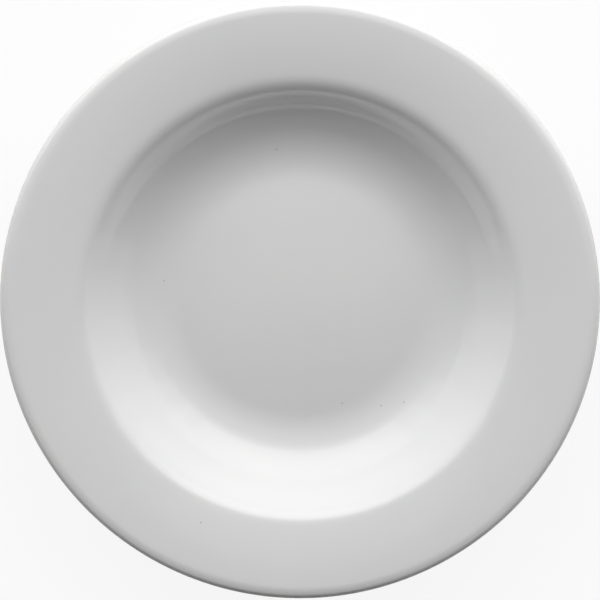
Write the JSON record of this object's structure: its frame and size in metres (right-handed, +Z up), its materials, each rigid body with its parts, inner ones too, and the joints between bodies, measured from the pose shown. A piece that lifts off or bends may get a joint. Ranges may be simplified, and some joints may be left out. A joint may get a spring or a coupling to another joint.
{
  "type": "deep plate",
  "caption": "Round deep plate with a wide, gently sloping plain rim, a curved well with a softly crowned floor and a bare foot ring, in white glazed porcelain, for soup or pasta.",
  "frame": {"origin": "centre of the foot ring on the table", "axes": "+Z up along the plate's turning axis, +X to the right and +Y away from the viewer in the picture"},
  "size_m": [0.24, 0.24, 0.0343],
  "materials": {
    "bare_porcelain": "bare fired porcelain, smoothed and matte",
    "white_glaze": "clear glossy glaze over white porcelain",
    "foot_well_glaze": "clear glossy glaze, pooled a little at the foot"
  },
  "bodies": {
    "root": {"porcelain_body": "bare_porcelain", "glaze_coat": "white_glaze", "foot_well_glaze": "foot_well_glaze"}
  },
  "joints": []
}
